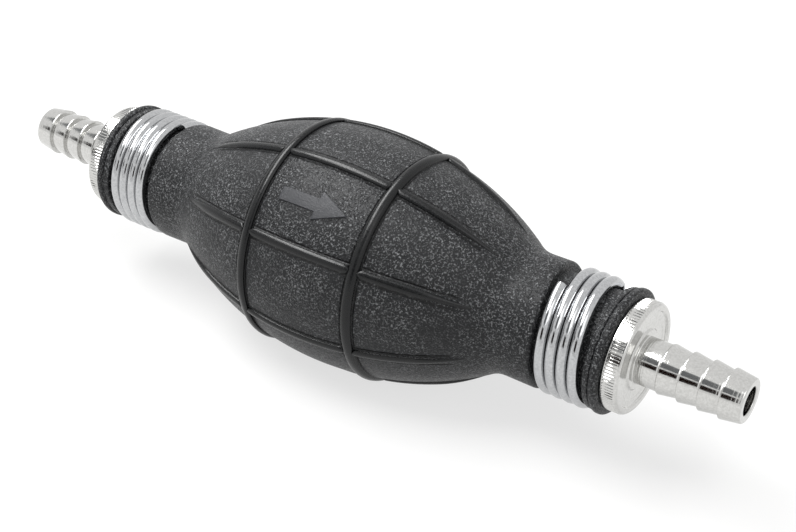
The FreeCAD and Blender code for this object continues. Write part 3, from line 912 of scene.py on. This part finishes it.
def winding_tree():
    tree, given = new_tree(
        "wound wire", ["Start X", "Coil Radius", "Pitch", "Turns", "Start Angle", "Wire Radius", "Lean"],
        ["Steps", "Sides"])
    line = add(tree, "GeometryNodeCurvePrimitiveLine")
    fine = add(tree, "GeometryNodeResampleCurve", {"Curve": line.outputs[0], "Count": given["Steps"]})
    done = add(tree, "GeometryNodeSplineParameter").outputs["Factor"]
    turned = math_node(tree, "MULTIPLY", done, given["Turns"])
    angle = math_node(tree, "MULTIPLY_ADD", turned, 2 * math.pi, given["Start Angle"])
    x = math_node(tree, "MULTIPLY_ADD", turned, given["Pitch"], given["Start X"])
    y = math_node(tree, "MULTIPLY", math_node(tree, "SINE", angle), given["Coil Radius"])
    z = math_node(tree, "MULTIPLY", math_node(tree, "COSINE", angle), given["Coil Radius"])
    toward = math_node(tree, "COSINE", math_node(tree, "SUBTRACT", angle, LEAN_ANGLE))
    lean = math_node(tree, "POWER", math_node(tree, "MULTIPLY_ADD", toward, 0.5, 0.5), 2.0)
    leaned = math_node(tree, "SUBTRACT", x, math_node(tree, "MULTIPLY", lean, given["Lean"]))
    spot = add(tree, "ShaderNodeCombineXYZ", {"X": leaned, "Y": math_node(tree, "MULTIPLY", y, -1.0), "Z": z})
    helix = add(tree, "GeometryNodeSetPosition", {"Geometry": fine.outputs[0], "Position": spot.outputs[0]})
    section = add(tree, "GeometryNodeCurvePrimitiveCircle", {
        "Resolution": given["Sides"], "Radius": given["Wire Radius"]})
    swept = add(tree, "GeometryNodeCurveToMesh", {
        "Curve": helix.outputs[0], "Profile Curve": section.outputs[0], "Fill Caps": True})
    smooth = add(tree, "GeometryNodeSetShadeSmooth", {0: swept.outputs[0]})
    return end_tree(tree, smooth.outputs[0], given["Material"])


winding = winding_tree()


def wind(name, start_x, coil_radius, pitch, turns, start_angle, wire, material, steps, sides, lean=0.0):
    """Winds one wire and returns it as a finished mesh piece."""
    piece = new_piece(name, [(0, 0, 0)], [], material)
    run_tree(piece, winding, {
        "Start X": start_x * MM, "Coil Radius": coil_radius * MM, "Pitch": pitch * MM,
        "Turns": float(turns), "Start Angle": math.radians(start_angle), "Wire Radius": wire / 2 * MM,
        "Lean": lean * MM, "Steps": steps, "Sides": sides, "Material": material})
    piece.data.set_sharp_from_angle(angle=math.radians(CUT_SHARP_ANGLE))
    return piece


# %% Wire clamps
CLAMP_OUTER_RADIUS = 13.55
CLAMP_STEPS = 340
CLAMP_SIDES = 24
CLAMPS = {
    "outlet_clamp": {
        "start_x": 50.9, "pitch": 2.5, "turns": 3.83, "start_angle": 18.0, "wire": 2.38, "lean": 1.3},
    "inlet_clamp": {
        "start_x": -60.15, "pitch": 2.4, "turns": 4.3, "start_angle": 253.0, "wire": 2.3, "lean": 0.0},
}

for name, sizes in CLAMPS.items():
    clamp = wind(name, coil_radius=CLAMP_OUTER_RADIUS - sizes["wire"] / 2, material=zinc_wire,
                 steps=CLAMP_STEPS, sides=CLAMP_SIDES, **sizes)
    finish_piece(clamp, "pump", "clamp_wire", name.replace("_clamp", "_wire_clamp"))

# %% Valve springs
SPRING_WIRE = 0.5
SPRING_TURNS = 4.5
SPRING_LENGTH = 7.0
SPRING_STEPS = 160
SPRING_SIDES = 10

for end in ("inlet", "outlet"):
    low, high = node_size[end + "_spring"]
    spring_radius = (high.y - low.y) / 2 - SPRING_WIRE / 2
    hub_face = node_size[end + "_spring_guide"][0].x
    first_x = hub_face - SPRING_LENGTH + SPRING_WIRE / 2
    pitch = (SPRING_LENGTH - SPRING_WIRE) / SPRING_TURNS
    spring = wind(end + "_valve_spring", first_x, spring_radius, pitch, SPRING_TURNS,
                  0.0, SPRING_WIRE, spring_steel, SPRING_STEPS, SPRING_SIDES)
    finish_piece(spring, "pump", "spring_steel", end + "_spring")
    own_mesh(spring)

# %% [markdown]
# ## Inner pieces
# The poppets and their guides are moulded in acetal, a hard, slippery, slightly milky plastic.
# They keep their shapes from the frame and only take a finish.

# %% Finishes for the frame's own pieces
ACETAL_FLOW_MM = 2.5
ACETAL_GRAIN_MM = 0.25


def moulded_acetal():
    material, tree = new_material("moulded natural acetal")
    place, _ = object_place(tree)
    fine = noise(tree, place, ACETAL_GRAIN_MM, 2.0)
    bump = add(tree, "ShaderNodeBump", {"Strength": 0.5, "Distance": 0.01 * MM, "Height": fine})
    show(tree, "ShaderNodeBsdfPrincipled", {
        "Base Color": blend(tree, noise(tree, place, ACETAL_FLOW_MM, 3.0), "efece2", "dedacb"),
        "Roughness": 0.38, "IOR": 1.48, "Subsurface Weight": 0.1, "Subsurface Scale": 0.001,
        "Normal": bump.outputs[0]})
    return material


acetal = moulded_acetal()
FINISHES = {
    "inlet_poppet": acetal, "outlet_poppet": acetal, "inlet_spring_guide": acetal,
    "outlet_spring_guide": acetal, "inlet_seal": seal_rubber, "outlet_seal": seal_rubber,
    "outlet_seat_o_ring": seal_rubber, "inlet_snap_ring": black_steel, "outlet_snap_ring": black_steel,
    "outlet_seat_disc": brass,
}
for name, material in FINISHES.items():
    nodes[name].data.materials.clear()
    nodes[name].data.materials.append(material)
print("finished", len(FINISHES), "inner pieces")

# %% Bring the scene up to date
bpy.context.view_layer.update()
